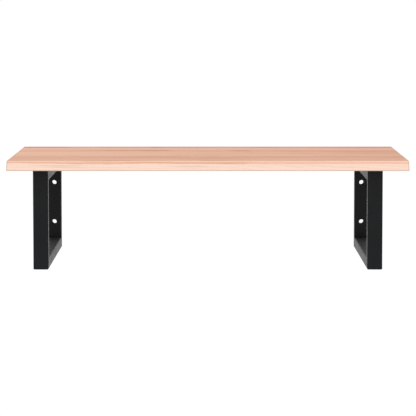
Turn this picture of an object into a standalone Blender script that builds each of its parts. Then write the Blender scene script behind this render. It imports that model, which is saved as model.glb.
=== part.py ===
"""Wall shelf: a solid wood board with a natural front edge on two welded steel tube brackets.

Metres, +Z up. +X runs along the shelf and +Y points at the wall, so the front is -Y.
The origin is the centre of the four wall screw holes, on the wall plane.
"""
import math

import bmesh
import bpy
from mathutils import Matrix, Vector

# Board
BOARD_LENGTH = 1.000
BOARD_DEPTH = 0.600
BOARD_THICKNESS = 0.024
EDGE_BEVEL_SETBACK = 0.019
EDGE_BEVEL_DROP = 0.005
EDGE_WANE_SETBACK = 0.0115
EDGE_WANE_POWER = 1.25
EDGE_WANE_STEPS = 6

# Brackets: four rectangular tubes each, mitred and welded into a closed frame
BRACKET_DEPTH = 0.560
BRACKET_HEIGHT = 0.250
BRACKET_CENTRE_X = 0.418
TUBE_WIDTH = 0.038
TUBE_THICKNESS = 0.028
TUBE_WALL = 0.002
TUBE_RADIUS = 0.003
CORNER_STEPS = 4

# Wall screw holes, through both walls of each rear upright
WALL_HOLE_DIAMETER = 0.0125
WALL_HOLE_SPACING = 0.107

# Board screws, driven up through the top rail from inside it
SCREWS_PER_BRACKET = 4
SCREW_SPACING = 0.124
SCREW_DIAMETER = 0.005
SCREW_LENGTH = 0.020
SCREW_TIP_LENGTH = 0.004
SCREW_HEAD_DIAMETER = 0.0092
SCREW_HEAD_HEIGHT = 0.0028
SCREW_HEAD_STEPS = 5
WASHER_DIAMETER = 0.010
WASHER_THICKNESS = 0.001
CLEARANCE_HOLE_DIAMETER = 0.0065
ACCESS_HOLE_DIAMETER = 0.012
PILOT_HOLE_DEPTH = 0.018

# Touching pieces keep this much room between them
GAP = 0.0003
ROUND_STEPS = 32
SMOOTH_ANGLE = math.radians(35)
MERGE_DISTANCE = 0.00001

BRACKET_TOP_Z = BRACKET_HEIGHT / 2
BRACKET_CENTRE_Y = -BRACKET_DEPTH / 2
BOARD_UNDERSIDE_Z = BRACKET_TOP_Z + GAP
BOARD_CENTRE_Y = -BOARD_DEPTH / 2

SIDES = (("left", -1), ("right", 1))


def clear_scene():
    for old in list(bpy.data.objects):
        bpy.data.objects.remove(old, do_unlink=True)


def new_collection(name):
    collection = bpy.data.collections.new(name)
    bpy.context.scene.collection.children.link(collection)
    return collection


def new_material(name, color, roughness, metallic):
    material = bpy.data.materials.new(name)
    material.use_nodes = True
    shader = material.node_tree.nodes["Principled BSDF"]
    shader.inputs["Base Color"].default_value = (*color, 1.0)
    shader.inputs["Roughness"].default_value = roughness
    shader.inputs["Metallic"].default_value = metallic
    return material


def new_object(name, mesh, collection, material=None):
    obj = bpy.data.objects.new(name, mesh)
    if material:
        mesh.materials.append(material)
    collection.objects.link(obj)
    return obj


def arc_points(centre_x, centre_y, radius, start, end, steps):
    points = []
    for step in range(steps + 1):
        angle = start + (end - start) * step / steps
        points.append((centre_x + radius * math.cos(angle), centre_y + radius * math.sin(angle)))
    return points


def rounded_rectangle(width, height, radius):
    """Outline centred on the origin, counter-clockwise, with round corners."""
    x = width / 2 - radius
    y = height / 2 - radius
    corners = ((x, y), (-x, y), (-x, -y), (x, -y))
    points = []
    for quarter, (corner_x, corner_y) in enumerate(corners):
        start = quarter * math.pi / 2
        points += arc_points(corner_x, corner_y, radius, start, start + math.pi / 2, CORNER_STEPS)
    return points


def extruded_mesh(name, outlines, length, collection):
    """Closed mesh of flat outlines in XY, drawn out along Z and centred on it."""
    curve = bpy.data.curves.new(name, "CURVE")
    curve.dimensions = "2D"
    curve.fill_mode = "BOTH"
    curve.extrude = length / 2
    for outline in outlines:
        spline = curve.splines.new("POLY")
        spline.points.add(len(outline) - 1)
        for point, (x, y) in zip(spline.points, outline):
            point.co = (x, y, 0, 1)
        spline.use_cyclic_u = True
    source = new_object(name + "_outline", curve, collection)
    evaluated = source.evaluated_get(bpy.context.evaluated_depsgraph_get())
    mesh = bpy.data.meshes.new_from_object(evaluated)
    mesh.name = name
    bpy.data.objects.remove(source)
    shape = bmesh.new()
    shape.from_mesh(mesh)
    bmesh.ops.remove_doubles(shape, verts=shape.verts, dist=MERGE_DISTANCE)
    shape.to_mesh(mesh)
    shape.free()
    return mesh


def turned_object(name, profile, closed, collection, material):
    """Solid turned about Z from a profile of (radius, height) points."""
    mesh = bpy.data.meshes.new(name)
    last = len(profile) - 1
    edges = [(index, index + 1) for index in range(last)]
    if closed:
        edges.append((last, 0))
    mesh.from_pydata([(radius, 0, height) for radius, height in profile], edges, [])
    obj = new_object(name, mesh, collection, material)
    turn = obj.modifiers.new("turn", "SCREW")
    turn.steps = ROUND_STEPS
    turn.render_steps = ROUND_STEPS
    turn.use_merge_vertices = True
    turn.merge_threshold = MERGE_DISTANCE
    turn.use_smooth_shade = True
    return obj


def drill(obj, holes, cutters):
    """Cut round holes, each (start, length, diameter), that run along -Y of obj's own space."""
    shape = bmesh.new()
    for start, length, diameter in holes:
        drilled = bmesh.ops.create_cone(shape, cap_ends=True, segments=ROUND_STEPS,
                                        radius1=diameter / 2, radius2=diameter / 2, depth=length)
        bmesh.ops.rotate(shape, verts=drilled["verts"], cent=(0, 0, 0),
                         matrix=Matrix.Rotation(math.pi / 2, 3, "X"))
        middle = Vector(start) - Vector((0, length / 2, 0))
        bmesh.ops.translate(shape, verts=drilled["verts"], vec=middle)
    mesh = bpy.data.meshes.new(obj.name + "_holes")
    shape.to_mesh(mesh)
    shape.free()
    cutter = new_object(obj.name + "_holes", mesh, cutters)
    cutter.parent = obj
    cutter.hide_render = True
    cutter.display_type = "WIRE"
    cut = obj.modifiers.new("holes", "BOOLEAN")
    cut.operation = "DIFFERENCE"
    cut.solver = "EXACT"
    cut.object = cutter


def screw_offsets():
    """Places of one bracket's board screws, along Y from the middle of the rail."""
    middle = (SCREWS_PER_BRACKET - 1) / 2
    return [(number - middle) * SCREW_SPACING for number in range(SCREWS_PER_BRACKET)]


def board_outline():
    """Section of the board, as (y, z) about the middle of its depth and thickness."""
    back = BOARD_DEPTH / 2
    half = BOARD_THICKNESS / 2
    points = [(-back, -half), (back, -half), (back, half), (EDGE_BEVEL_SETBACK - back, half)]
    for step in range(EDGE_WANE_STEPS):
        share = step / EDGE_WANE_STEPS
        drop = EDGE_BEVEL_DROP + (BOARD_THICKNESS - EDGE_BEVEL_DROP) * share
        setback = EDGE_WANE_SETBACK * (1 - share) ** EDGE_WANE_POWER
        points.append((setback - back, half - drop))
    return points


def make_board(parts, cutters, wood):
    """One glued-up solid wood board, whose front edge slopes out to the underside."""
    mesh = extruded_mesh("board", [board_outline()], BOARD_LENGTH, parts)
    board = new_object("board", mesh, parts, wood)
    # The outline's X becomes Y, its Y becomes Z and the extrusion becomes X
    board.rotation_euler = (math.pi / 2, 0, math.pi / 2)
    board.location = (0, BOARD_CENTRE_Y, BOARD_UNDERSIDE_Z + BOARD_THICKNESS / 2)
    holes = []
    pilot_diameter = SCREW_DIAMETER + 2 * GAP
    for _, side in SIDES:
        for offset in screw_offsets():
            along = BRACKET_CENTRE_Y + offset - BOARD_CENTRE_Y
            start = (along, PILOT_HOLE_DEPTH - BOARD_THICKNESS / 2, side * BRACKET_CENTRE_X)
            holes.append((start, PILOT_HOLE_DEPTH + GAP, pilot_diameter))
    drill(board, holes, cutters)


def tube_mesh(name, length, parts):
    """Rectangular tube along Z, mitred at both ends, whose +Y side is the frame's outside."""
    outer = rounded_rectangle(TUBE_WIDTH, TUBE_THICKNESS, TUBE_RADIUS)
    inner = rounded_rectangle(TUBE_WIDTH - 2 * TUBE_WALL, TUBE_THICKNESS - 2 * TUBE_WALL,
                              TUBE_RADIUS - TUBE_WALL)
    mesh = extruded_mesh(name, [outer, inner], length, parts)
    # Two 45 degree ends, each this much shorter, leave one gap between their faces
    shortening = GAP / math.sqrt(2)
    for vertex in mesh.vertices:
        end = math.copysign(1, vertex.co.z)
        inset = TUBE_THICKNESS / 2 - vertex.co.y
        vertex.co.z = end * (length / 2 - shortening - inset)
    mesh.shade_smooth()
    mesh.set_sharp_from_angle(angle=SMOOTH_ANGLE)
    return mesh


def make_tube(name, side, outward, parts, steel):
    """One of a bracket's four tubes; outward is the direction of its outer side, as (y, z)."""
    is_rail = outward[1] != 0
    length = BRACKET_DEPTH if is_rail else BRACKET_HEIGHT
    reach = (BRACKET_HEIGHT if is_rail else BRACKET_DEPTH) / 2 - TUBE_THICKNESS / 2
    tube = new_object(name, tube_mesh(name, length, parts), parts, steel)
    tube.rotation_euler = (math.atan2(outward[1], outward[0]), 0, 0)
    tube.location = (side * BRACKET_CENTRE_X, BRACKET_CENTRE_Y + outward[0] * reach,
                     outward[1] * reach)
    return tube


def make_rear_upright(name, side, parts, cutters, steel):
    """Upright against the wall, with two holes for wall screws."""
    tube = make_tube(name, side, (1, 0), parts, steel)
    holes = []
    for end in (-1, 1):
        start = (0, TUBE_THICKNESS, end * WALL_HOLE_SPACING / 2)
        holes.append((start, 2 * TUBE_THICKNESS, WALL_HOLE_DIAMETER))
    drill(tube, holes, cutters)


def make_top_rail(name, side, parts, cutters, steel):
    """Rail under the board: a clearance hole above and an access hole below each screw."""
    tube = make_tube(name, side, (0, 1), parts, steel)
    holes = []
    for offset in screw_offsets():
        above = (0, TUBE_THICKNESS, offset)
        below = (0, 0, offset)
        holes.append((above, TUBE_THICKNESS, CLEARANCE_HOLE_DIAMETER))
        holes.append((below, TUBE_THICKNESS, ACCESS_HOLE_DIAMETER))
    drill(tube, holes, cutters)


def screw_profile():
    """Screw pointing up, from its tip down to its domed head; its height zero is under the head."""
    radius = SCREW_DIAMETER / 2
    head_radius = SCREW_HEAD_DIAMETER / 2
    profile = [(0, SCREW_LENGTH), (radius, SCREW_LENGTH - SCREW_TIP_LENGTH), (radius, 0)]
    for step in range(SCREW_HEAD_STEPS + 1):
        angle = math.pi / 2 * step / SCREW_HEAD_STEPS
        profile.append((head_radius * math.cos(angle), -SCREW_HEAD_HEIGHT * math.sin(angle)))
    profile[-1] = (0, -SCREW_HEAD_HEIGHT)
    return profile


def washer_profile():
    """Section of the washer, down its outer side and up its hole."""
    outer = WASHER_DIAMETER / 2
    inner = SCREW_DIAMETER / 2 + GAP
    return [(outer, WASHER_THICKNESS), (outer, 0), (inner, 0), (inner, WASHER_THICKNESS)]


def make_fixings(side_name, side, parts, zinc):
    """Board screws with their washers, inside one top rail."""
    washer_z = BRACKET_TOP_Z - TUBE_WALL - GAP - WASHER_THICKNESS
    screw_z = washer_z - GAP
    for number, offset in enumerate(screw_offsets(), start=1):
        place = (side * BRACKET_CENTRE_X, BRACKET_CENTRE_Y + offset)
        washer = turned_object(f"{side_name}_washer_{number}", washer_profile(), True, parts, zinc)
        washer.location = (*place, washer_z)
        screw = turned_object(f"{side_name}_board_screw_{number}", screw_profile(), False, parts,
                              zinc)
        screw.location = (*place, screw_z)


def make_bracket(side_name, side, parts, cutters, steel):
    """Closed frame of four tubes that holds one end of the board on the wall."""
    make_top_rail(f"{side_name}_top_rail", side, parts, cutters, steel)
    make_tube(f"{side_name}_bottom_rail", side, (0, -1), parts, steel)
    make_tube(f"{side_name}_front_leg", side, (-1, 0), parts, steel)
    make_rear_upright(f"{side_name}_rear_upright", side, parts, cutters, steel)


def main():
    clear_scene()
    parts = new_collection("wall_shelf")
    cutters = new_collection("cutters")
    wood = new_material("beech_wood", (0.752, 0.456, 0.333), 0.6, 0.0)
    steel = new_material("black_powder_coat", (0.018, 0.018, 0.019), 0.5, 0.0)
    zinc = new_material("zinc_plate", (0.62, 0.63, 0.65), 0.35, 1.0)
    make_board(parts, cutters, wood)
    for side_name, side in SIDES:
        make_bracket(side_name, side, parts, cutters, steel)
        make_fixings(side_name, side, parts, zinc)


main()
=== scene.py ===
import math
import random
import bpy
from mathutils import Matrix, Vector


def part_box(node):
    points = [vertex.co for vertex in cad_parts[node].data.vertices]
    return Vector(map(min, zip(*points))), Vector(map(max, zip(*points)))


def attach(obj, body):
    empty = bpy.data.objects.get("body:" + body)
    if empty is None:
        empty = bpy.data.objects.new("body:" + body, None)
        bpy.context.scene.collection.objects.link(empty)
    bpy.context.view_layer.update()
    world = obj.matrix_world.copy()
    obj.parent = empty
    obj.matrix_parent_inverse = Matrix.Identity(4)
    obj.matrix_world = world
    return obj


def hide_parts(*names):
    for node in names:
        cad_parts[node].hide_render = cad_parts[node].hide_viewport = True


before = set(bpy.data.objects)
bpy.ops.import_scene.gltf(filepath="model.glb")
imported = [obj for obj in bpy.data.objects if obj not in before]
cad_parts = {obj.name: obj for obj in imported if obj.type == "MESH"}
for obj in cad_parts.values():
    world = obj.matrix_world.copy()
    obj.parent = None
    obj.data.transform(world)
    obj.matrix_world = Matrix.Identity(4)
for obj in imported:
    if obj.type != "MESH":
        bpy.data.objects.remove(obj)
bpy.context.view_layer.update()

# The looks of a wall shelf: a solid beech board with a natural front edge, on two welded steel
# tube brackets with a black powder coat. Metres, +Z up, and +Y points at the wall.
from types import SimpleNamespace

import bmesh
import bpy
from mathutils import Matrix, Vector, noise

# The CAD nodes of a bracket and its fixings start with the name of their side
SIDES = ("left", "right")
# Millimetres in a metre
MILLIMETRES = 1000

# Camera: straight in front and a little above, through a long lens
CAMERA_PLACE = (0.0004, -6.525, 0.5504)
CAMERA_PITCH = math.radians(4.986)
CAMERA_LENS = 207.35
CAMERA_REACH = 500
SENSOR_WIDTH = 36

# Room: how white the floor and the world look, how much they light the object, and one soft light
FLOOR_BELOW_ORIGIN = 0.75
FLOOR_SIZE = 400
PLAIN_WHITE = 1.02
FLOOR_LIGHT = 1.2
WORLD_LIGHT = 0.8
SOFTBOX_DIRECTION = (0.10, 1.0, -0.75)
SOFTBOX_STRENGTH = 1.35
SOFTBOX_SIZE = math.radians(70)

# Board: arrises, and the natural front edge as setbacks from the board's front
ARRIS = 0.0006
ARRIS_STEPS = 4
STATION_STEP = 0.0025
TOP_EDGE_SETBACK = 0.0188
STRIP_SETBACK = 0.0117
FOOT_SETBACK = 0.0012
LEAST_SETBACK = 0.0001
FOOT_ARRIS = 0.0032
UNDERSIDE_EDGE = 0.008
UNDERSIDE_FADE = 0.002
WANE_POWER = 1.25
WANE_POINTS = 24
STRIP_POINTS = 7
# Points that soften the front edge of the top: how far behind it and how far below the top
SOFT_EDGE = ((0.0012, 0.0), (0.0003, 0.00006))
# Drop of the strip's lower edge below the top, along the board's length
STRIP_DROPS = ((-0.50, 0.0043), (-0.43, 0.0048), (-0.34, 0.0066), (-0.24, 0.0065), (-0.14, 0.0050),
               (-0.06, 0.0061), (0.06, 0.0062), (0.15, 0.0058), (0.34, 0.0058), (0.50, 0.0055))
# Waves of the natural edge along the board: height, length and seed
TOP_EDGE_WAVES = ((0.0005, 0.21, 1), (0.0002, 0.03, 2))
STRIP_DROP_WAVES = ((0.0003, 0.045, 3), (0.0002, 0.012, 4))
STRIP_SETBACK_WAVES = ((0.0010, 0.17, 5), (0.0004, 0.04, 6))
FOOT_SETBACK_WAVES = ((0.0009, 0.16, 7), (0.0003, 0.03, 8))
FOOT_ARRIS_WAVES = ((0.0006, 0.11, 9),)
SEED_STEP = 7.3
# Relief of the natural edge: height, bumps per metre along, bumps on the way down, and seed
STRIP_RIDGES = (0.00018, 26, 5, 3.1)
WANE_SWELLS = (0.00050, 22, 2.5, 5.7)
WANE_RIDGES = (0.00022, 34, 13, 9.2)
# The wane's relief grows and fades as half a sine wave, which starts this share of the way in
WANE_RELIEF_START = 0.12
# Length along the outline for vertices that are far from the natural edge, in millimetres
FAR = 99.0

# Brackets
TUBE_WALL = 0.002
TUBE_RADIUS = 0.003
RADIUS_STEPS = 5
CORNER_STEPS = 4
OUTER_CORNER = 0.0016
WINDOW_CORNER = 0.0006
SHARPEST_CORNER = 0.0002
WALL_HOLE_RADIUS = 0.00625
WALL_HOLE_SPACING = 0.107
ACCESS_HOLE_RADIUS = 0.006
CLEARANCE_HOLE_RADIUS = 0.00325
CLEARANCE_DRILL_START = 0.7
HOLE_EDGE = 0.0004
DRILL_MARGIN = 0.001
DRILL_OVERRUN = 0.00001
HOLE_STEPS = 48
PILOT_HOLE_RADIUS = 0.0028
PILOT_HOLE_DEPTH = 0.018
SMOOTH_ANGLE = math.radians(35)

# Weld beads in the inner corners of the brackets
BEAD_LEG = 0.0042
BEAD_SUNK = 0.0006
BEAD_RIPPLE = 0.00045
BEAD_PITCH = 0.0017
BEAD_UNEVENNESS = 0.0002
BEAD_BUMPS = 300
BEAD_CORNER_SEED = 9
BEAD_LEAST_END = 0.04
BEAD_END_POWER = 10
BEAD_ROUNDNESS = 0.62
BEAD_SIDE_ROUNDNESS = 0.10
BEAD_STATIONS = 110
BEAD_POINTS = 9

# Screws
HEAD_HEIGHT = 0.0028
HEAD_POWER = 0.8
HEAD_RINGS = 9
HEAD_EDGE = 0.0001
CENTRE_RADIUS = 0.00005
SHANK_RADIUS = 0.0025
SHANK_LENGTH = 0.020
CORE_SHARE = 0.68
NECK_SHARE = 0.35
NECK_LENGTH = 0.0035
THREAD_RUN_IN = 0.001
POINT_LENGTH = 0.0045
POINT_RADIUS = 0.00003
THREAD_PITCH = 0.0022
CREST_SLOPE = 4
THREAD_STEPS = 28
THREAD_RINGS_PER_PITCH = 14
RECESS_WIDTH = 0.0011
RECESS_LENGTH = 0.0048
RECESS_DEPTH = 0.0017
RECESS_LENGTH_TAPER = 0.45
RECESS_WIDTH_TAPER = 0.7

# Washers
WASHER_HOLE_RADIUS = 0.0028
WASHER_EDGE = 0.00005
WASHER_SOFT_EDGE = 0.0002

# Staves of the board from the wall to the front: width, brightness, and its change along X
STAVES = ((0.056, 0.77, -0.08), (0.092, 1.05, -0.05), (0.084, 0.95, -0.12), (0.083, 1.02, -0.30),
          (0.078, 1.03, -0.16), (0.078, 0.89, -0.12), (0.069, 0.95, -0.02), (0.060, 0.98, -0.02))
# Streaks in the grain, dark or (below 0) pale: middle x and y, half length, half width and strength
STREAKS = ((-0.450, -0.028, 0.085, 0.018, 0.55), (-0.140, -0.038, 0.024, 0.016, 1.00),
           (-0.335, -0.038, 0.050, 0.016, -0.45), (0.000, -0.038, 0.032, 0.013, 0.35),
           (0.160, -0.038, 0.060, 0.014, 0.32), (0.440, -0.026, 0.130, 0.018, 0.55),
           (-0.225, -0.171, 0.130, 0.018, 0.75), (-0.135, -0.165, 0.060, 0.020, 0.90),
           (0.085, -0.171, 0.036, 0.015, 0.85), (-0.160, -0.452, 0.180, 0.015, 0.16),
           (0.005, -0.453, 0.030, 0.011, 0.25), (0.410, -0.212, 0.095, 0.017, 0.30),
           (-0.218, -0.568, 0.058, 0.011, 0.58), (-0.265, -0.584, 0.055, 0.007, 0.32),
           (0.245, -0.293, 0.040, 0.011, 0.14), (0.040, -0.488, 0.070, 0.013, 0.25),
           (0.010, -0.568, 0.045, 0.011, 0.35), (0.270, -0.568, 0.070, 0.010, 0.20),
           (-0.300, -0.425, 0.220, 0.018, -0.26), (-0.010, -0.350, 0.100, 0.026, 0.26),
           (0.060, -0.245, 0.130, 0.024, 0.17), (0.130, -0.574, 0.120, 0.011, 0.12),
           (0.030, -0.505, 0.150, 0.045, 0.13), (-0.040, -0.594, 0.060, 0.003, 0.38),
           (-0.375, -0.593, 0.085, 0.002, 0.32))
FRAYING = 0.45

# Noises of the wood: waves per metre along and across the grain, detail and roughness
WANDER = (1.7, 6.0, 1.0, 0.5)
SWAY = (1.5, 5.0, 1.0, 0.5)
SHIVER = (16.0, 60.0, 2.0, 0.5)
PORES = (900.0, 3100.0, 2.0, 0.5)
RAGGED = (60.0, 500.0, 3.0, 0.5)
# Layers of the grain: such a noise, and how it darkens: its range, and the least and most darkness
GRAIN_LAYERS = {
    "broad": ((1.6, 45.0, 3.0, 0.5), (0.36, 0.68, -0.05, 0.17)),
    "streak": ((5.0, 240.0, 3.0, 0.6), (0.38, 0.70, -0.09, 0.20)),
    "strand": ((13.0, 620.0, 2.0, 0.6), (0.35, 0.70, -0.06, 0.14)),
    "fibre": ((40.0, 2300.0, 2.0, 0.5), (0.30, 0.75, -0.06, 0.18)),
}
# What a noise runs between, but for its rare peaks
NOISE_RANGE = (0.3, 0.7)
# Each stave takes its pattern from its own place along the noises, up to this far on
STAVE_SHIFT = 61.0

# Growth rings: where in a ring its late wood rises and ends, how far the noises move the grain
# and the rings, and where the pith lies: beside the stave's middle, and below the underside
RING_WIDTH = 0.0034
LATE_WOOD_RISE = (0.40, 0.93)
LATE_WOOD_END = (1.0, 0.94)
LATE_WOOD_DARKNESS = 0.48
RING_SLANT = 0.040
WANDER_DEPTH = 0.016
SWAY_DEPTH = 0.034
SHIVER_DEPTH = 0.0016
SEASONS_PER_METRE = 130.0
SEASON_DEPTH = 0.0030
PITH_SCATTER = 0.045
PITH_DEPTHS = (0.012, 0.070)
# How much of the wood's darkness the sapwood has, and how much a dim stave adds
SAPWOOD_DARKNESS = 0.55
STAVE_CONTRAST = 2.1

# Ray flecks: cells per metre, a fleck's edge in its cell, the share of cells with one, and strength
FLECK_CELLS = (230.0, 1500.0, 1500.0)
FLECK_EDGE = (0.34, 0.16)
FLECK_SHARE = 0.52
FLECK_STRENGTHS = (0.35, 0.90)
SAPWOOD_FLECKS = 0.6
# Glued joints: how far from a joint its line ends and is full
GLUE_LINE = (0.00045, 0.00015)
GLUE_DARKNESS = 0.35

# Sawn ends: how much of their normals is along X, rays per radian and per metre, and a dark rim
END_FACING = (0.35, 0.80)
END_RAYS = (260.0, 60.0)
END_RIM = (0.0032, 0.0008)
END_RIM_DARKNESS = 0.7

# Looks of the natural edge, in millimetres from the ragged lines along it, from none to full
RAGGEDNESS = 2.4
STRIP_START = (-0.4, 0.3)
# Painted highlight along the strip's top arris: where it ends
PAINTED_HIGHLIGHT_END = (5.0, 2.6)
SEAM_START = (-3.8, -0.6)
SEAM_END = (1.0, 0.1)
SAPWOOD_START = (-0.2, 0.8)
FLECKS_CHANGE = (-0.5, 1.0)
# Painted shade along the lower arris of the natural edge: heights above the underside and depths behind
# the front, in metres
FOOT_SHADE_HEIGHTS = (0.0032, 0.0010)
FOOT_SHADE_DEPTHS = (0.0060, 0.0035)
# How plain the seam, the dark line under the strip, is from the left end (0) to the right (1)
SEAM = ((0.00, 0.38), (0.12, 0.60), (0.27, 0.50), (0.34, 1.00), (0.54, 1.00), (0.62, 0.37), (1.00, 0.28))
# How far each look covers the wood's own colour
STRIP_COVER = 0.65
PAINTED_HIGHLIGHT_COVER = 0.6
SEAM_COVER = 0.55
FOOT_SHADE_COVER = 0.58

# Colours of the beech
BEECH = (0.785, 0.469, 0.327)
BEECH_DARK = (0.545, 0.246, 0.160)
STREAK_HEART = (0.370, 0.165, 0.095)
STRIP_PALE = (0.780, 0.512, 0.390)
STRIP_DARK = (0.650, 0.368, 0.256)
# Painted highlight: the strip's top arris made lighter, as if it caught the light
PAINTED_HIGHLIGHT = (0.850, 0.566, 0.428)
SAPWOOD = (0.770, 0.570, 0.470)
SAPWOOD_DARK = (0.550, 0.350, 0.255)
SEAM_BROWN = (0.480, 0.238, 0.152)
# Painted shade on the lower arris of the natural edge
FOOT_SHADE = (0.370, 0.245, 0.170)
FLECK_TINT = (0.60, 0.50, 0.43)
END_GRAIN = (0.600, 0.345, 0.225)
END_GRAIN_DARK = (0.330, 0.165, 0.095)

# Powder coat: noises in waves per metre, the ground welds in metres from the mitres, and colours
PEEL = 700.0
GRIT = 2600.0
CLOUDS = 26.0
SPECKS = 1100.0
SPECK_EDGE = (0.22, 0.10)
SPECK_SHARE = 0.10
MITRE_WANDER = 420.0
MITRE_WANDER_DEPTH = 0.0012
MITRE_WELD = (0.0046, 0.0018)
UP_FACING = (0.80, 0.98)
POWDER_BLACK = (0.0036, 0.0040, 0.0045)
POWDER_CLOUDED = (0.0052, 0.0057, 0.0064)
SPECK_GREY = (0.040, 0.040, 0.042)
# Pale blue grey on what faces up: settled dust, and a painted sheen for the light on the tops
DUST_AND_SHEEN = (0.0180, 0.0218, 0.0262)

# Zinc plate: noises in waves per metre, and colours
BLOOM = 160.0
PLATE_GRAIN = 3200.0
ZINC_BLUE = (0.58, 0.60, 0.64)
ZINC_STRAW = (0.66, 0.63, 0.55)


# Objects and meshes

def link(name, data):
    """New object in the scene."""
    obj = bpy.data.objects.new(name, data)
    bpy.context.scene.collection.objects.link(obj)
    return obj


def finish_mesh(name, shape, material):
    """Object from a bmesh, with its faces turned outwards and its sharp edges kept."""
    bmesh.ops.recalc_face_normals(shape, faces=shape.faces)
    mesh = bpy.data.meshes.new(name)
    shape.to_mesh(mesh)
    shape.free()
    mesh.shade_smooth()
    mesh.set_sharp_from_angle(angle=SMOOTH_ANGLE)
    if material:
        mesh.materials.append(material)
    return link(name, mesh)


def bridge(shape, rings, closed):
    """Quads between rings of equal length; closed joins the last ring to the first."""
    corners = [[shape.verts.new(point) for point in ring] for ring in rings]
    pairs = list(zip(corners, corners[1:]))
    if closed:
        pairs.append((corners[-1], corners[0]))
    for one, other in pairs:
        count = len(one)
        for index in range(count):
            after = (index + 1) % count
            shape.faces.new((one[index], one[after], other[after], other[index]))
    return corners


def loft(shape, rings):
    """Closed solid through the rings, with flat ends; gives back its rings of vertices."""
    corners = bridge(shape, rings, False)
    shape.faces.new(corners[0])
    shape.faces.new(corners[-1])
    return corners


def circle(radius, height, count):
    """Ring of points about Z."""
    points = []
    for index in range(count):
        angle = 2 * math.pi * index / count
        points.append(Vector((radius * math.cos(angle), radius * math.sin(angle), height)))
    return points


def arc(centre_y, centre_z, radius, start, end, steps):
    """Points (y, z) of an arc between two angles in degrees."""
    points = []
    for step in range(steps + 1):
        angle = math.radians(start + (end - start) * step / steps)
        points.append((centre_y + radius * math.cos(angle), centre_z + radius * math.sin(angle)))
    return points


def add_turned(shape, profile, count, place, direction):
    """Closed solid turned about direction, from (radius, height) points, with flat ends."""
    corners = loft(shape, [circle(radius, height, count) for radius, height in profile])
    turn = Vector((0, 0, 1)).rotation_difference(Vector(direction)).to_matrix().to_4x4()
    verts = [vertex for ring in corners for vertex in ring]
    bmesh.ops.transform(shape, verts=verts, matrix=Matrix.Translation(place) @ turn)


def carve(obj, cutter):
    """Take cutter away from obj, and keep the result as obj's own mesh."""
    cut = obj.modifiers.new("carve", "BOOLEAN")
    cut.operation = "DIFFERENCE"
    cut.solver = "EXACT"
    cut.object = cutter
    evaluated = obj.evaluated_get(bpy.context.evaluated_depsgraph_get())
    carved = bpy.data.meshes.new_from_object(evaluated)
    obj.modifiers.clear()
    obj.data = carved
    bpy.data.objects.remove(cutter)
    carved.shade_smooth()
    carved.set_sharp_from_angle(angle=SMOOTH_ANGLE)


def even_normals(obj):
    """Keep broad flat faces flat where they meet small round ones."""
    weighted = obj.modifiers.new("even_normals", "WEIGHTED_NORMAL")
    weighted.keep_sharp = True


def ride_as(obj, slot, *nodes):
    """Put a piece on the one body and hide the CAD nodes that it stands for; slot, its finish, is not
    used.
    """
    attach(obj, "root")
    if nodes:
        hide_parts(*nodes)


# Node materials

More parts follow.
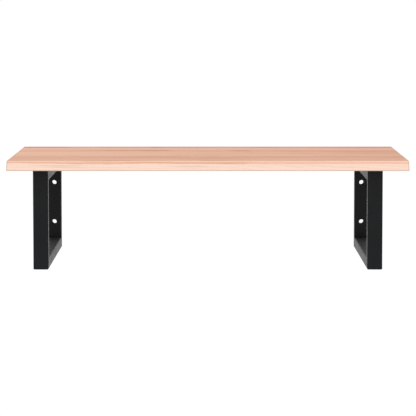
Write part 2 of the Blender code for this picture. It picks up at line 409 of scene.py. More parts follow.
class Graph:
    """A material's nodes, with a short call for each kind that is used here."""

    def __init__(self, name):
        self.material = bpy.data.materials.new(name)
        self.material.use_nodes = True
        self.tree = self.material.node_tree
        self.shader = self.tree.nodes["Principled BSDF"]

    def feed(self, socket, value):
        """Link a socket to another, or set its own value."""
        if isinstance(value, bpy.types.NodeSocket):
            self.tree.links.new(value, socket)
        else:
            socket.default_value = value

    def add(self, kind, **settings):
        node = self.tree.nodes.new(kind)
        for name, value in settings.items():
            setattr(node, name, value)
        return node

    def math(self, operation, *values, clamp=False):
        node = self.add("ShaderNodeMath", operation=operation, use_clamp=clamp)
        for socket, value in zip(node.inputs, values):
            self.feed(socket, value)
        return node.outputs[0]

    def split(self, vector):
        node = self.add("ShaderNodeSeparateXYZ")
        self.feed(node.inputs[0], vector)
        return node.outputs

    def position(self):
        return self.split(self.add("ShaderNodeTexCoord").outputs["Object"])

    def normal(self):
        return self.split(self.add("ShaderNodeNewGeometry").outputs["Normal"])

    def vector(self, x, y, z):
        node = self.add("ShaderNodeCombineXYZ")
        for socket, value in zip(node.inputs, (x, y, z)):
            self.feed(socket, value)
        return node.outputs[0]

    def stretched(self, place, scales, shift=0.0):
        """The position, scaled along each axis, and shifted along X."""
        x = self.math("MULTIPLY_ADD", place[0], scales[0], shift)
        y = self.math("MULTIPLY", place[1], scales[1])
        z = self.math("MULTIPLY", place[2], scales[2])
        return self.vector(x, y, z)

    def scaled(self, place, scale):
        return self.stretched(place, (scale, scale, scale))

    def noise(self, vector, detail=2.0, roughness=0.5):
        node = self.add("ShaderNodeTexNoise")
        self.feed(node.inputs["Vector"], vector)
        node.inputs["Scale"].default_value = 1.0
        node.inputs["Detail"].default_value = detail
        node.inputs["Roughness"].default_value = roughness
        return node.outputs["Fac"]

    def cells(self, vector):
        """Distance to the nearest cell centre, and that cell's random colour."""
        node = self.add("ShaderNodeTexVoronoi")
        self.feed(node.inputs["Vector"], vector)
        node.inputs["Scale"].default_value = 1.0
        return node.outputs["Distance"], node.outputs["Color"]

    def spread(self, value, low, high, new_low=0.0, new_high=1.0):
        """From new_low to new_high as the value goes from low to high, and no further."""
        node = self.add("ShaderNodeMapRange", interpolation_type="LINEAR", clamp=True)
        for socket, number in zip(node.inputs, (value, low, high, new_low, new_high)):
            self.feed(socket, number)
        return node.outputs[0]

    def swing(self, value, least=0.0, most=1.0):
        """From least to most, as a noise goes through its usual range."""
        return self.spread(value, *NOISE_RANGE, least, most)

    def steps(self, factor, stops, interpolation="CONSTANT"):
        """Ramp through (place, three values) stops, as separate red, green and blue outputs."""
        node = self.add("ShaderNodeValToRGB")
        node.color_ramp.interpolation = interpolation
        elements = node.color_ramp.elements
        while len(elements) < len(stops):
            elements.new(1.0)
        for element, (place, values) in zip(elements, stops):
            element.position = place
            element.color = (*values, 1.0)
        self.feed(node.inputs[0], factor)
        colours = self.add("ShaderNodeSeparateColor")
        self.feed(colours.inputs[0], node.outputs[0])
        return colours.outputs

    def mix(self, factor, one, other, blend="MIX"):
        node = self.add("ShaderNodeMix", data_type="RGBA", blend_type=blend)
        self.feed(node.inputs["Factor"], factor)
        for name, value in (("A", one), ("B", other)):
            socket = [s for s in node.inputs if s.name == name and s.type == "RGBA"][0]
            self.feed(socket, value if isinstance(value, bpy.types.NodeSocket) else (*value, 1.0))
        return [s for s in node.outputs if s.type == "RGBA"][0]

    def bump(self, height, strength, distance):
        node = self.add("ShaderNodeBump")
        node.inputs["Strength"].default_value = strength
        node.inputs["Distance"].default_value = distance
        self.feed(node.inputs["Height"], height)
        self.feed(self.shader.inputs["Normal"], node.outputs[0])

    def attribute(self, name):
        return self.add("ShaderNodeAttribute", attribute_name=name).outputs["Fac"]


# Beech

def wood_noise(g, place, kind, shift=0.0):
    """Noise that is long along X; kind is a row such as WANDER, and shift picks the place in it."""
    lengthwise, crosswise, detail, roughness = kind
    return g.noise(g.stretched(place, (lengthwise, crosswise, crosswise), shift), detail, roughness)


def stave_tables(low, high):
    """Ramp stops per stave: brightness, fade and phase; then pith across and below, and flecks.

    A ramp holds 0 to 1, so the brightness is halved and the fade raised by half.
    """
    chance = random.Random(11)
    depth = high.y - low.y
    looks, grains = [], []
    across = 0.0
    for width, tone, fade in STAVES:
        start = across / depth
        pith = (across + width / 2 + chance.uniform(-PITH_SCATTER, PITH_SCATTER)) / depth
        looks.append((start, (tone / 2, fade + 0.5, chance.random())))
        grains.append((start, (min(max(pith, 0.0), 1.0), chance.random(), chance.random())))
        across += width
    return looks, grains


def stave_values(g, y, low, high):
    """What sets each stave apart from the others."""
    across = g.spread(y, high.y, low.y)
    looks, grains = stave_tables(low, high)
    stave = SimpleNamespace()
    stave.tone, stave.fade, stave.phase = g.steps(across, looks)[:3]
    stave.pith, stave.buried, stave.flecked = g.steps(across, grains)[:3]
    stave.shift = g.math("MULTIPLY", stave.phase, STAVE_SHIFT)
    return stave


def wandering_grain(g, place, shift):
    """The position, wandering a little across the stave on the way along the board."""
    x, y, z = place
    wander = g.math("SUBTRACT", wood_noise(g, place, WANDER, shift), 0.5)
    return x, g.math("MULTIPLY_ADD", wander, WANDER_DEPTH, y), z


def growth_rings(g, grain, stave, low, high):
    """Late wood of rings that are uneven cones about the pith, their radius, and the angle round it."""
    x, y, z = grain
    from_pith_y = g.math("SUBTRACT", y, g.spread(stave.pith, 0.0, 1.0, high.y, low.y))
    pith_depth = g.spread(stave.buried, 0.0, 1.0, *PITH_DEPTHS)
    from_pith_z = g.math("ADD", g.math("SUBTRACT", z, low.z), pith_depth)
    squares = g.math("MULTIPLY", from_pith_z, from_pith_z)
    radius = g.math("SQRT", g.math("MULTIPLY_ADD", from_pith_y, from_pith_y, squares))
    radius = g.math("MULTIPLY_ADD", wood_noise(g, grain, SWAY, stave.shift), SWAY_DEPTH, radius)
    slant = g.math("MULTIPLY", g.math("SUBTRACT", stave.phase, 0.5), RING_SLANT)
    radius = g.math("MULTIPLY_ADD", x, slant, radius)
    radius = g.math("MULTIPLY_ADD", wood_noise(g, grain, SHIVER, stave.shift), SHIVER_DEPTH, radius)
    season = g.noise(g.vector(g.math("MULTIPLY", radius, SEASONS_PER_METRE), stave.shift, 0.0))
    radius = g.math("MULTIPLY_ADD", season, SEASON_DEPTH, radius)
    ring = g.math("FRACT", g.math("DIVIDE", radius, RING_WIDTH))
    late_wood = g.math("MULTIPLY", g.spread(ring, *LATE_WOOD_RISE), g.spread(ring, *LATE_WOOD_END))
    late_wood = g.math("MULTIPLY", late_wood, g.swing(season, 0.25, 1.0))
    return late_wood, radius, g.math("ARCTAN2", from_pith_y, from_pith_z)


def streak_shade(g, x, y, layers):
    """Sum of the streaks at x, y: ellipses that fray along the grain."""
    fraying = g.math("ADD", g.swing(layers["streak"], -FRAYING, FRAYING),
                     g.swing(layers["strand"], -FRAYING, FRAYING))
    total = 0.0
    for middle_x, middle_y, half_length, half_width, strength in STREAKS:
        along_it = g.math("DIVIDE", g.math("SUBTRACT", x, middle_x), half_length)
        across_it = g.math("DIVIDE", g.math("SUBTRACT", y, middle_y), half_width)
        squares = g.math("MULTIPLY_ADD", along_it, along_it, g.math("MULTIPLY", across_it, across_it))
        inside = g.math("ADD", g.math("SUBTRACT", 1.0, squares), fraying)
        total = g.math("MULTIPLY_ADD", g.spread(inside, 0.0, 1.0), strength, total)
    return total


def ray_flecks(g, grain, stave):
    """Short flecks in some of the cells, fainter in the sapwood."""
    distance, pick = g.cells(g.stretched(grain, FLECK_CELLS, stave.shift))
    fleck = g.math("MULTIPLY", g.spread(distance, *FLECK_EDGE), g.math("LESS_THAN", pick, FLECK_SHARE))
    fleck = g.math("MULTIPLY", fleck, g.spread(stave.flecked, 0.0, 1.0, *FLECK_STRENGTHS))
    fainter = g.spread(g.attribute("from_line"), *FLECKS_CHANGE, 1.0, SAPWOOD_FLECKS)
    return g.math("MULTIPLY", fleck, fainter)


def glue_lines(g, y, high):
    """Darkness of the glued joints between the staves."""
    nearest = 1.0
    across = 0.0
    for width, _, _ in STAVES[:-1]:
        across += width
        away = g.math("ABSOLUTE", g.math("SUBTRACT", y, high.y - across))
        nearest = g.math("MINIMUM", away, nearest)
    return g.spread(nearest, *GLUE_LINE, 0.0, GLUE_DARKNESS)


def natural_edge(g, place, shade, low, high):
    """Where the natural edge is strip, painted highlight along the strip's top arris, dark seam, sapwood,
    and painted shade along its lower arris.
    """
    x, y, z = place
    edge = SimpleNamespace()
    ragged = g.math("MULTIPLY", g.math("SUBTRACT", wood_noise(g, place, RAGGED), 0.5), RAGGEDNESS)
    from_line = g.math("ADD", g.attribute("from_line"), ragged)
    from_arris = g.math("MULTIPLY_ADD", ragged, 0.5, g.attribute("from_arris"))
    edge.sapwood = g.spread(from_line, *SAPWOOD_START)
    edge.strip = g.spread(from_arris, *STRIP_START)
    # Painted highlight along the strip's top arris, dimmed where the streaks are
    worn = g.math("MULTIPLY", edge.strip, g.spread(from_arris, *PAINTED_HIGHLIGHT_END))
    edge.worn = g.math("MULTIPLY", worn, g.spread(shade, 0.0, 0.5, 1.0, 0.4))
    seam_stops = [(at, (value, value, value)) for at, value in SEAM]
    edge.plain = g.steps(g.spread(x, low.x, high.x), seam_stops, "LINEAR")[0]
    seam = g.math("MULTIPLY", g.spread(from_line, *SEAM_START), g.spread(from_line, *SEAM_END))
    edge.seam = g.math("MULTIPLY", seam, edge.plain)
    # Painted shade: a darker band along the lower arris of the natural edge
    edge.foot = g.math("MULTIPLY", g.spread(z, low.z + FOOT_SHADE_HEIGHTS[0], low.z + FOOT_SHADE_HEIGHTS[1]),
                       g.spread(y, low.y + FOOT_SHADE_DEPTHS[0], low.y + FOOT_SHADE_DEPTHS[1]))
    return edge


def wood_darkness(g, x, stave, late_wood, layers, edge):
    """Darkness of the rings, the layers of the grain and the stave, before streaks and glue."""
    dark = g.math("MULTIPLY", late_wood, LATE_WOOD_DARKNESS)
    for name, (_, darkens) in GRAIN_LAYERS.items():
        dark = g.math("ADD", dark, g.spread(layers[name], *darkens))
    dark = g.math("MULTIPLY", dark, g.spread(edge.sapwood, 0.0, 1.0, 1.0, SAPWOOD_DARKNESS))
    fading = g.math("MULTIPLY_ADD", g.math("SUBTRACT", stave.fade, 0.5), x, 1.0)
    brightness = g.math("MULTIPLY", g.math("MULTIPLY", stave.tone, 2.0), fading)
    edge_free = g.math("SUBTRACT", 1.0, g.math("MAXIMUM", edge.strip, edge.sapwood))
    stave_dark = g.math("MULTIPLY", g.math("SUBTRACT", 1.0, brightness), STAVE_CONTRAST)
    return g.math("ADD", dark, g.math("MULTIPLY", stave_dark, edge_free))


def wood_colour(g, dark, shade, edge):
    """Colour of the faces along the grain, from the top over the natural edge to the underside, with
    painted highlight and painted shade on its arrises.
    """
    colour = g.mix(dark, BEECH, BEECH_DARK)
    colour = g.mix(g.spread(shade, 0.5, 1.3, 0.0, 0.6), colour, STREAK_HEART)
    strip_colour = g.mix(g.spread(edge.plain, 0.15, 0.70), STRIP_PALE, STRIP_DARK)
    colour = g.mix(g.math("MULTIPLY", edge.strip, STRIP_COVER), colour, strip_colour)
    # Painted highlight along the top arris of the strip
    colour = g.mix(g.math("MULTIPLY", edge.worn, PAINTED_HIGHLIGHT_COVER), colour, PAINTED_HIGHLIGHT)
    colour = g.mix(edge.sapwood, colour, g.mix(dark, SAPWOOD, SAPWOOD_DARK))
    colour = g.mix(g.math("MULTIPLY", edge.seam, SEAM_COVER), colour, SEAM_BROWN)
    # Painted shade along the lower arris of the natural edge
    return g.mix(g.math("MULTIPLY", edge.foot, FOOT_SHADE_COVER), colour, FOOT_SHADE)


def end_grain_colour(g, place, late_wood, radius, angle, shift):
    """Colour of the sawn ends: no lengthwise fibres, but rings, fine rays and pores."""
    per_radian, per_metre = END_RAYS
    turned = g.vector(g.math("MULTIPLY", angle, per_radian), g.math("MULTIPLY", radius, per_metre), shift)
    dark = g.math("MULTIPLY", late_wood, 0.45)
    dark = g.math("ADD", dark, g.spread(g.noise(turned), 0.42, 0.72, 0.0, 0.35))
    pores = wood_noise(g, place, PORES)
    dark = g.math("ADD", dark, g.spread(pores, 0.35, 0.75, 0.0, 0.35), clamp=True)
    return g.mix(dark, END_GRAIN, END_GRAIN_DARK)


def beech_material():
    """Solid beech in glued staves, each with its own growth rings, fibres and ray flecks."""
    g = Graph("beech_wood")
    low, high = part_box("board")
    place = g.position()
    x, y, _ = place
    stave = stave_values(g, y, low, high)
    grain = wandering_grain(g, place, stave.shift)
    late_wood, radius, angle = growth_rings(g, grain, stave, low, high)
    layers = {name: wood_noise(g, grain, kind, stave.shift) for name, (kind, _) in GRAIN_LAYERS.items()}
    shade = streak_shade(g, x, grain[1], layers)
    fleck = ray_flecks(g, grain, stave)
    edge = natural_edge(g, place, shade, low, high)

    dark = wood_darkness(g, x, stave, late_wood, layers, edge)
    dark = g.math("ADD", dark, glue_lines(g, y, high))
    dark = g.math("ADD", dark, shade, clamp=True)
    colour = wood_colour(g, dark, shade, edge)
    colour = g.mix(fleck, colour, FLECK_TINT, "MULTIPLY")
    end = g.spread(g.math("ABSOLUTE", g.normal()[0]), *END_FACING)
    rim = g.spread(g.math("ABSOLUTE", x), high.x - END_RIM[0], high.x - END_RIM[1], 0.0, END_RIM_DARKNESS)
    end_colour = end_grain_colour(g, place, late_wood, radius, angle, stave.shift)
    colour = g.mix(g.math("MAXIMUM", end, rim), colour, end_colour)
    g.feed(g.shader.inputs["Base Color"], colour)

    rough = g.swing(layers["fibre"], 0.56, 0.70)
    g.feed(g.shader.inputs["Roughness"], g.math("MULTIPLY_ADD", end, 0.15, rough))
    g.shader.inputs["Specular IOR Level"].default_value = 0.12
    height = g.math("MULTIPLY_ADD", layers["fibre"], 0.6, g.math("MULTIPLY", layers["streak"], 0.5))
    height = g.math("SUBTRACT", height, g.math("MULTIPLY", late_wood, 0.15))
    height = g.math("SUBTRACT", height, g.math("MULTIPLY", fleck, 0.25))
    g.bump(height, strength=0.35, distance=0.00012)
    return g.material


# Metal

def mitre_welds(g, place):
    """Where the welds are ground almost flush: along the 45 degree planes of the mitres."""
    _, y, z = place
    low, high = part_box("left_front_leg")
    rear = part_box("left_rear_upright")[1].y
    to_side = g.math("MINIMUM", g.math("ABSOLUTE", g.math("SUBTRACT", y, low.y)),
                     g.math("ABSOLUTE", g.math("SUBTRACT", y, rear)))
    to_end = g.math("MINIMUM", g.math("ABSOLUTE", g.math("SUBTRACT", z, low.z)),
                    g.math("ABSOLUTE", g.math("SUBTRACT", z, high.z)))
    from_mitre = g.math("ABSOLUTE", g.math("SUBTRACT", to_side, to_end))
    wander = g.noise(g.scaled(place, MITRE_WANDER))
    return g.spread(g.math("MULTIPLY_ADD", wander, MITRE_WANDER_DEPTH, from_mitre), *MITRE_WELD)


def powder_material():
    """Black powder coat: orange peel, grit, specks, uneven gloss, ground welds, and settled dust with a
    painted sheen on what faces up.
    """
    g = Graph("black_powder_coat")
    place = g.position()
    weld = mitre_welds(g, place)
    peel = g.noise(g.scaled(place, PEEL), detail=1.0)
    grit = g.noise(g.scaled(place, GRIT))
    cloud = g.noise(g.scaled(place, CLOUDS), detail=3.0)
    distance, pick = g.cells(g.scaled(place, SPECKS))
    speck = g.math("MULTIPLY", g.spread(distance, *SPECK_EDGE), g.math("LESS_THAN", pick, SPECK_SHARE))
    # Painted sheen and settled dust: what faces up is greyed pale blue, partly as light caught by the
    # tops
    dust_and_sheen = g.math("MULTIPLY", g.spread(g.normal()[2], *UP_FACING), g.swing(cloud, 0.80, 1.00))

    colour = g.mix(g.swing(cloud), POWDER_BLACK, POWDER_CLOUDED)
    colour = g.mix(g.math("MULTIPLY", speck, 0.5), colour, SPECK_GREY)
    g.feed(g.shader.inputs["Base Color"], g.mix(dust_and_sheen, colour, DUST_AND_SHEEN))
    rough = g.math("ADD", g.swing(cloud, 0.40, 0.50), g.swing(grit, -0.03, 0.05))
    g.feed(g.shader.inputs["Roughness"], g.math("MULTIPLY_ADD", weld, 0.10, rough))
    g.shader.inputs["Specular IOR Level"].default_value = 0.12
    height = g.math("MULTIPLY_ADD", grit, 0.15, peel)
    height = g.math("MULTIPLY_ADD", weld, 1.5, height)
    g.bump(height, strength=0.5, distance=0.00010)
    return g.material


def zinc_material():
    """Bright zinc plate with a faint straw and blue bloom."""
    g = Graph("zinc_plate")
    place = g.position()
    bloom = g.noise(g.scaled(place, BLOOM))
    grain = g.noise(g.scaled(place, PLATE_GRAIN))
    g.feed(g.shader.inputs["Base Color"], g.mix(g.spread(bloom, 0.35, 0.65), ZINC_BLUE, ZINC_STRAW))
    g.shader.inputs["Metallic"].default_value = 1.0
    g.feed(g.shader.inputs["Roughness"], g.swing(grain, 0.26, 0.44))
    g.bump(grain, strength=0.25, distance=0.00004)
    return g.material


# Places of the board screws

def screw_nodes(side):
    """CAD nodes of one side's board screws."""
    return sorted(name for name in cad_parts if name.startswith(side + "_board_screw"))


def screw_places(side):
    """Middle of each board screw of one side, at the height of the top of its thread."""
    places = []
    for node in screw_nodes(side):
        low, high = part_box(node)
        places.append(Vector(((low.x + high.x) / 2, (low.y + high.y) / 2, high.z)))
    return places


# Board

def along(pairs, x):
    """Smooth value at x through (place, value) pairs."""
    for (start, before), (end, after) in zip(pairs, pairs[1:]):
        if x <= end:
            break
    share = min(max((x - start) / (end - start), 0.0), 1.0)
    share = share * share * (3 - 2 * share)
    return before + (after - before) * share


def wavy(value, waves, x):
    """The value with waves along X on it, from (height, length, seed) rows."""
    for height, length, seed in waves:
        value += height * noise.noise(Vector((x / length, seed * SEED_STEP, 0.5)))
    return value


def relief(kind, x, share):
    """Height at x and at a share of the way down; kind is a row such as STRIP_RIDGES."""
    height, lengthwise, downwards, seed = kind
    return height * noise.noise(Vector((x * lengthwise, share * downwards, seed)))


def board_section(x, low, high):
    """Outline at x, from the lower rear arris over the top to the front and under.

    Each point is (y, z, from_line, from_arris): millimetres along the outline, downwards, from
    the line between strip and sapwood and from the front edge of the top.
    """
    top_setback = wavy(TOP_EDGE_SETBACK, TOP_EDGE_WAVES, x)
    drop = wavy(along(STRIP_DROPS, x), STRIP_DROP_WAVES, x)
    strip_setback = wavy(STRIP_SETBACK, STRIP_SETBACK_WAVES, x)
    foot_setback = wavy(FOOT_SETBACK, FOOT_SETBACK_WAVES, x)
    foot_arris = wavy(FOOT_ARRIS, FOOT_ARRIS_WAVES, x)
    strip_length = MILLIMETRES * math.hypot(top_setback - strip_setback, drop)
    section = []
    for y, z in arc(high.y - ARRIS, low.z + ARRIS, ARRIS, -90, 0, ARRIS_STEPS):
        section.append((y, z, -FAR, -FAR))
    for y, z in arc(high.y - ARRIS, high.z - ARRIS, ARRIS, 0, 90, ARRIS_STEPS):
        section.append((y, z, -FAR, -FAR))
    edge_y = low.y + top_setback
    for behind, below in SOFT_EDGE:
        from_arris = -MILLIMETRES * behind
        section.append((edge_y + behind, high.z - below, from_arris - strip_length, from_arris))
    for point in range(1, STRIP_POINTS + 1):
        share = point / (STRIP_POINTS + 1)
        setback = top_setback + (strip_setback - top_setback) * share
        y = low.y + setback + relief(STRIP_RIDGES, x, share)
        length = strip_length * share
        section.append((y, high.z - drop * share, length - strip_length, length))
    foot_z = low.z + foot_arris
    height = high.z - drop - foot_z
    for point in range(WANE_POINTS + 1):
        share = point / WANE_POINTS
        setback = foot_setback + (strip_setback - foot_setback) * (1 - share) ** WANE_POWER
        bumps = relief(WANE_SWELLS, x, share) + relief(WANE_RIDGES, x, share)
        setback += bumps * math.sin(math.pi * min(share + WANE_RELIEF_START, 1.0))
        y = low.y + max(setback, LEAST_SETBACK)
        length = MILLIMETRES * height * share
        section.append((y, foot_z + height * (1 - share), length, length + strip_length))
    foot_y = section[-1][0]
    for y, z in arc(foot_y + foot_arris, low.z + foot_arris, foot_arris, 180, 270, ARRIS_STEPS)[1:]:
        section.append((y, z, FAR, FAR))
    section.append((low.y + UNDERSIDE_EDGE, low.z, FAR, FAR))
    section.append((low.y + UNDERSIDE_EDGE + UNDERSIDE_FADE, low.z, -FAR, -FAR))
    return section


def drawn_in(section, inset):
    """The section with its outline moved inwards by inset."""
    moved = []
    count = len(section)
    for index, (y, z, *lengths) in enumerate(section):
        before = section[index - 1]
        after = section[(index + 1) % count]
        run_y, run_z = after[0] - before[0], after[1] - before[1]
        length = math.hypot(run_y, run_z)
        moved.append((y - inset * run_z / length, z + inset * run_y / length, *lengths))
    return moved


def board_stations(half_length):
    """Each station's x and the inset of its section, which rounds the arrises of both ends."""
    inner = half_length - ARRIS
    stations = []
    for step in range(ARRIS_STEPS, 0, -1):
        angle = math.pi / 2 * step / ARRIS_STEPS
        stations.append((-inner - ARRIS * math.sin(angle), ARRIS * (1 - math.cos(angle))))
    count = round(2 * inner / STATION_STEP)
    stations += [(-inner + 2 * inner * index / count, 0.0) for index in range(count + 1)]
    return stations + [(-x, inset) for x, inset in reversed(stations[:ARRIS_STEPS])]


def make_board(wood):
    """One lofted board with a wandering natural edge, and the pilot holes of its screws."""
    low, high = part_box("board")
    shape = bmesh.new()
    line_layer = shape.verts.layers.float.new("from_line")
    arris_layer = shape.verts.layers.float.new("from_arris")
    stations = board_stations(high.x)
    sections = [drawn_in(board_section(x, low, high), inset) for x, inset in stations]
    rings = []
    for (x, _), section in zip(stations, sections):
        rings.append([Vector((x, y, z)) for y, z, _, _ in section])
    for ring, section in zip(loft(shape, rings), sections):
        for vertex, (_, _, from_line, from_arris) in zip(ring, section):
            vertex[line_layer] = from_line
            vertex[arris_layer] = from_arris
    board = finish_mesh("beech_board", shape, wood)

    holes = bmesh.new()
    profile = [(PILOT_HOLE_RADIUS, -DRILL_MARGIN), (PILOT_HOLE_RADIUS, PILOT_HOLE_DEPTH)]
    for side in SIDES:
        for place in screw_places(side):
            add_turned(holes, profile, HOLE_STEPS, (place.x, place.y, low.z), (0, 0, 1))
    carve(board, finish_mesh("pilot_holes", holes, None))
    even_normals(board)
    ride_as(board, "beech_wood", "board")


# Brackets

def rectangle(half_y, half_z, radius, x, centre):
    """Ring of points in a plane across X, with round corners."""
    points = []
    for quarter, (sign_y, sign_z) in enumerate(((1, 1), (-1, 1), (-1, -1), (1, -1))):
        corner_y = sign_y * (half_y - radius)
        corner_z = sign_z * (half_z - radius)
        for y, z in arc(corner_y, corner_z, radius, quarter * 90, quarter * 90 + 90, CORNER_STEPS):
            points.append(centre + Vector((x, y, z)))
    return points


def add_frame_shell(shape, sizes, wall, radius):
    """Closed skin of the frame of tubes, drawn in by wall, its lengthwise edges rounded."""
    outside, inside = [], []
    for step in range(RADIUS_STEPS + 1):
        angle = math.pi / 2 * step / RADIUS_STEPS
        x = sizes.half_width - wall - radius * (1 - math.cos(angle))
        inset = radius * (1 - math.sin(angle))
        corner = max(OUTER_CORNER - inset, SHARPEST_CORNER)
        outside.append((x, *[half - wall - inset for half in sizes.outer], corner))
        inside.append((x, *[half + wall + inset for half in sizes.window], WINDOW_CORNER + inset))
    order = outside + [(-x, *rest) for x, *rest in reversed(outside)]
    order += [(-x, *rest) for x, *rest in inside] + list(reversed(inside))
    rings = [rectangle(half_y, half_z, corner, x, sizes.centre) for x, half_y, half_z, corner in order]
    bridge(shape, rings, True)


def flare(radius, height, inwards):
    """Profile of a drill that rounds the hole's edge at height, from outside the wall to inside."""
    points = [(radius + HOLE_EDGE, height - inwards * DRILL_MARGIN)]
    for step in range(ARRIS_STEPS + 1):
        angle = math.pi / 2 * step / ARRIS_STEPS
        depth = HOLE_EDGE * (1 - math.cos(angle)) - DRILL_OVERRUN
        points.append((radius + HOLE_EDGE * (1 - math.sin(angle)), height + inwards * depth))
    return points


def bracket_sizes(side):
    """A bracket's centre and half sizes, from the boxes of its four tubes."""
    leg_low, leg_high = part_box(side + "_front_leg")
    top_low, top_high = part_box(side + "_top_rail")
    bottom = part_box(side + "_bottom_rail")[0].z
    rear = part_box(side + "_rear_upright")[1].y
    sizes = SimpleNamespace(rear=rear, under_top_rail=top_low.z)
    sizes.tube = leg_high.y - leg_low.y
    sizes.half_width = (leg_high.x - leg_low.x) / 2
    middle = ((leg_low.x + leg_high.x) / 2, (leg_low.y + rear) / 2, (bottom + top_high.z) / 2)
    sizes.centre = Vector(middle)
    sizes.outer = ((rear - leg_low.y) / 2, (top_high.z - bottom) / 2)
    sizes.window = (sizes.outer[0] - sizes.tube, sizes.outer[1] - sizes.tube)
    return sizes


def bracket_holes(side, sizes):
    """Drills for the wall holes, and for each board screw's access and clearance holes."""
    holes = bmesh.new()
    centre, tube = sizes.centre, sizes.tube
    through = flare(WALL_HOLE_RADIUS, -tube, 1) + flare(WALL_HOLE_RADIUS, 0.0, -1)[::-1]
    for end in (-1, 1):
        place = (centre.x, sizes.rear, centre.z + end * WALL_HOLE_SPACING / 2)
        add_turned(holes, through, HOLE_STEPS, place, (0, 1, 0))
    access = flare(ACCESS_HOLE_RADIUS, 0.0, 1) + [(ACCESS_HOLE_RADIUS, tube / 2)]
    clearance = [(CLEARANCE_HOLE_RADIUS, tube * CLEARANCE_DRILL_START),
                 (CLEARANCE_HOLE_RADIUS, tube + DRILL_MARGIN)]
    for screw in screw_places(side):
        for profile in (access, clearance):
            add_turned(holes, profile, HOLE_STEPS, (screw.x, screw.y, sizes.under_top_rail), (0, 0, 1))
    return finish_mesh("holes", holes, None)


def make_bracket(side, powder):
    """One welded frame: its skin, the hollow inside the tubes, the drilled holes and the beads."""
    sizes = bracket_sizes(side)
    shape = bmesh.new()
    add_frame_shell(shape, sizes, 0.0, TUBE_RADIUS)
    bracket = finish_mesh(side + "_bracket_frame", shape, powder)
    hollow = bmesh.new()
    add_frame_shell(hollow, sizes, TUBE_WALL, TUBE_RADIUS - TUBE_WALL)
    carve(bracket, finish_mesh("hollow", hollow, None))
    carve(bracket, bracket_holes(side, sizes))
    even_normals(bracket)
    ride_as(bracket, "black_powder_coat", side + "_front_leg", side + "_bottom_rail",
            side + "_rear_upright", side + "_top_rail")

    corners = ((1, 1), (-1, 1), (-1, -1), (1, -1))
    for number, (sign_y, sign_z) in enumerate(corners, start=1):
        place = sizes.centre + Vector((0, sign_y * sizes.window[0], sign_z * sizes.window[1]))
        half_length = sizes.half_width - TUBE_RADIUS
        bead = make_bead(f"{side}_weld_bead_{number}", place, half_length, sign_y, sign_z, powder)
        ride_as(bead, "black_powder_coat")


def bead_section(leg):
    """Points (y, z) of a bulging fillet, as distances from the corner along its two sides."""
    points = [(-BEAD_SUNK, -BEAD_SUNK)]
    for point in range(BEAD_POINTS):
        share = point / (BEAD_POINTS - 1)
        angle = math.pi / 2 * share
        bulge = BEAD_ROUNDNESS + BEAD_SIDE_ROUNDNESS * math.cos(2 * angle) ** 2
        y = leg * (1 - share) * (1 - bulge) + leg * bulge * (1 - math.sin(angle))
        z = leg * share * (1 - bulge) + leg * bulge * (1 - math.cos(angle))
        sunk_y = BEAD_SUNK if point == BEAD_POINTS - 1 else 0.0
        sunk_z = BEAD_SUNK if point == 0 else 0.0
        points.append((y - sunk_y, z - sunk_z))
    return points


def make_bead(name, place, half_length, sign_y, sign_z, powder):
    """Rippled fillet weld along X in an inner corner; the signs point into the corner."""
    rings = []
    for station in range(BEAD_STATIONS + 1):
        x = half_length * (2 * station / BEAD_STATIONS - 1)
        taper = math.sqrt(max(BEAD_LEAST_END, 1 - (abs(x) / half_length) ** BEAD_END_POWER))
        seed = (place.y * BEAD_CORNER_SEED, place.z * BEAD_CORNER_SEED + place.x)
        uneven = BEAD_UNEVENNESS * noise.noise(Vector((x * BEAD_BUMPS, *seed)))
        ripple = BEAD_RIPPLE * abs(math.sin(math.pi * x / BEAD_PITCH))
        section = bead_section((BEAD_LEG + ripple + uneven) * taper)
        rings.append([place + Vector((x, -sign_y * y, -sign_z * z)) for y, z in section])
    shape = bmesh.new()
    loft(shape, rings)
    return finish_mesh(name, shape, powder)


# Screws and washers

def thread_ring(height):
    """Ring of the thread, its neck or its point, at a height above the underside of the head."""
    core = SHANK_RADIUS * CORE_SHARE
    point = min(1.0, (SHANK_LENGTH - height) / POINT_LENGTH)
    start = min(1.0, max(0.0, (height - NECK_LENGTH) / THREAD_RUN_IN))
    ring = []
    for index in range(THREAD_STEPS):
        angle = 2 * math.pi * index / THREAD_STEPS
        turn = (height / THREAD_PITCH - index / THREAD_STEPS) % 1.0
        crest = max(0.0, 1 - abs(turn - 0.5) * CREST_SLOPE)
        radius = core + (SHANK_RADIUS - core) * (crest * start + NECK_SHARE * (1 - start))
        radius *= point
        ring.append(Vector((radius * math.cos(angle), radius * math.sin(angle), height)))
    return ring


def recess_arm(turn):
    """One arm of the cross recess, a bar that tapers on its way into the head."""
    arm = bmesh.new()
    made = bmesh.ops.create_cube(arm, size=1.0)["verts"]
    bmesh.ops.scale(arm, verts=made, vec=(RECESS_LENGTH, RECESS_WIDTH, 2 * RECESS_DEPTH))
    for vertex in made:
        if vertex.co.z > 0:
            vertex.co.x *= RECESS_LENGTH_TAPER
            vertex.co.y *= RECESS_WIDTH_TAPER
    bmesh.ops.rotate(arm, verts=made, cent=(0, 0, 0), matrix=Matrix.Rotation(turn, 3, "Z"))
    bmesh.ops.translate(arm, verts=made, vec=(0, 0, -HEAD_HEIGHT))
    return finish_mesh("recess", arm, None)


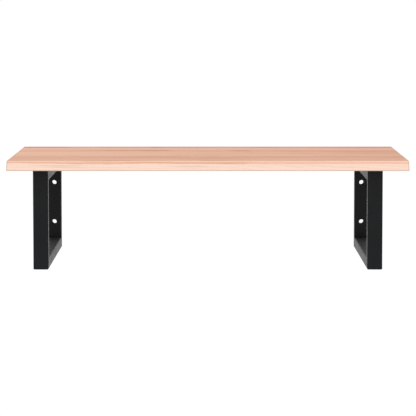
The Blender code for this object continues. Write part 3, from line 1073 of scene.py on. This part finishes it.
def screw_mesh(zinc):
    """Pan head screw pointing up, its height zero under the head, with a cut thread and recess."""
    low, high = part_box(screw_nodes("left")[0])
    head_radius = (high.x - low.x) / 2
    rings = []
    for step in range(HEAD_RINGS, -1, -1):
        angle = math.pi / 2 * step / HEAD_RINGS
        radius = max(head_radius * math.cos(angle) ** HEAD_POWER, CENTRE_RADIUS)
        rings.append(circle(radius, -HEAD_HEIGHT * math.sin(angle), THREAD_STEPS))
    rings.append(circle(head_radius - HEAD_EDGE, 0.0, THREAD_STEPS))
    rings.append(circle(SHANK_RADIUS, 0.0, THREAD_STEPS))
    count = round(SHANK_LENGTH / THREAD_PITCH * THREAD_RINGS_PER_PITCH)
    rings += [thread_ring(SHANK_LENGTH * step / count) for step in range(1, count)]
    rings.append(circle(POINT_RADIUS, SHANK_LENGTH, THREAD_STEPS))
    shape = bmesh.new()
    loft(shape, rings)
    screw = finish_mesh("screw_pattern", shape, zinc)
    for turn in (0, math.pi / 2):
        carve(screw, recess_arm(turn))
    mesh = screw.data
    bpy.data.objects.remove(screw)
    return mesh


def make_washer(node, zinc):
    """Pressed washer: its punched edges are rounded below and nearly sharp above."""
    low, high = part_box(node)
    outer = (high.x - low.x) / 2
    corners = ((outer - WASHER_SOFT_EDGE, low.z + WASHER_SOFT_EDGE, WASHER_SOFT_EDGE),
               (outer - WASHER_EDGE, high.z - WASHER_EDGE, WASHER_EDGE),
               (WASHER_HOLE_RADIUS + WASHER_EDGE, high.z - WASHER_EDGE, WASHER_EDGE),
               (WASHER_HOLE_RADIUS + WASHER_SOFT_EDGE, low.z + WASHER_SOFT_EDGE, WASHER_SOFT_EDGE))
    section = []
    for quarter, (middle, height, edge) in enumerate(corners, start=-1):
        section += arc(middle, height, edge, quarter * 90, quarter * 90 + 90, ARRIS_STEPS)
    shape = bmesh.new()
    bridge(shape, [circle(radius, height, HOLE_STEPS) for radius, height in section], True)
    bmesh.ops.translate(shape, verts=shape.verts, vec=((low.x + high.x) / 2, (low.y + high.y) / 2, 0))
    ride_as(finish_mesh(node + "_pressed", shape, zinc), "zinc_plate", node)


def make_fixings(zinc):
    """Detailed board screws and washers in place of the plain ones."""
    mesh = screw_mesh(zinc)
    turn = random.Random(5)
    for side in SIDES:
        for node in screw_nodes(side):
            low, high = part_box(node)
            placed = mesh.copy()
            place = Vector(((low.x + high.x) / 2, (low.y + high.y) / 2, low.z + HEAD_HEIGHT))
            spin = Matrix.Rotation(turn.uniform(0, math.pi), 4, "Z")
            placed.transform(Matrix.Translation(place) @ spin)
            ride_as(link(node + "_threaded", placed), "zinc_plate", node)
    for name in sorted(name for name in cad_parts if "_washer_" in name):
        make_washer(name, zinc)


# Room, light and camera

def seen_strength(tree, to_object):
    """Strength of plain white for what the camera sees, and to_object for what lights the object."""
    seen = tree.nodes.new("ShaderNodeLightPath")
    strength = tree.nodes.new("ShaderNodeMapRange")
    strength.inputs["To Min"].default_value = to_object
    strength.inputs["To Max"].default_value = PLAIN_WHITE
    tree.links.new(seen.outputs["Is Camera Ray"], strength.inputs["Value"])
    return strength.outputs[0]


def make_floor():
    """White floor under the object, clear from below so that it never hides the underside."""
    g = Graph("floor_white")
    glow = g.add("ShaderNodeEmission")
    g.feed(glow.inputs["Strength"], seen_strength(g.tree, FLOOR_LIGHT))
    one_sided = g.add("ShaderNodeMixShader")
    g.feed(one_sided.inputs[0], g.add("ShaderNodeNewGeometry").outputs["Backfacing"])
    g.feed(one_sided.inputs[1], glow.outputs[0])
    g.feed(one_sided.inputs[2], g.add("ShaderNodeBsdfTransparent").outputs[0])
    g.feed(g.tree.nodes["Material Output"].inputs["Surface"], one_sided.outputs[0])
    shape = bmesh.new()
    bmesh.ops.create_grid(shape, x_segments=1, y_segments=1, size=FLOOR_SIZE / 2)
    bmesh.ops.translate(shape, verts=shape.verts, vec=(0, 0, -FLOOR_BELOW_ORIGIN))
    mesh = bpy.data.meshes.new("floor")
    shape.to_mesh(mesh)
    shape.free()
    mesh.materials.append(g.material)
    floor = link("floor", mesh)


def make_world():
    """White surroundings."""
    world = bpy.data.worlds.new("studio")
    bpy.context.scene.world = world
    world.use_nodes = True
    background = world.node_tree.nodes["Background"]
    background.inputs["Color"].default_value = (1.0, 1.0, 1.0, 1.0)
    strength = seen_strength(world.node_tree, WORLD_LIGHT)
    world.node_tree.links.new(strength, background.inputs["Strength"])


def make_softbox():
    """Large soft light from the front and above."""
    light = bpy.data.lights.new("front_softbox", "SUN")
    light.energy = SOFTBOX_STRENGTH
    light.angle = SOFTBOX_SIZE
    lamp = link("front_softbox", light)
    lamp.rotation_euler = Vector(SOFTBOX_DIRECTION).to_track_quat("-Z", "Y").to_euler()


def make_camera():
    """Camera at CAMERA_PLACE, level but for its pitch, looking along +Y."""
    data = bpy.data.cameras.new("camera")
    data.sensor_width = SENSOR_WIDTH
    data.lens = CAMERA_LENS
    data.clip_end = CAMERA_REACH
    camera = link("camera", data)
    camera.location = CAMERA_PLACE
    camera.rotation_euler = (math.pi / 2 - CAMERA_PITCH, 0, 0)
    bpy.context.scene.camera = camera


def main():
    bpy.context.scene.view_settings.view_transform = "Standard"
    make_camera()
    make_world()
    make_softbox()
    make_floor()
    powder = powder_material()
    make_board(beech_material())
    for side in SIDES:
        make_bracket(side, powder)
    make_fixings(zinc_material())


main()
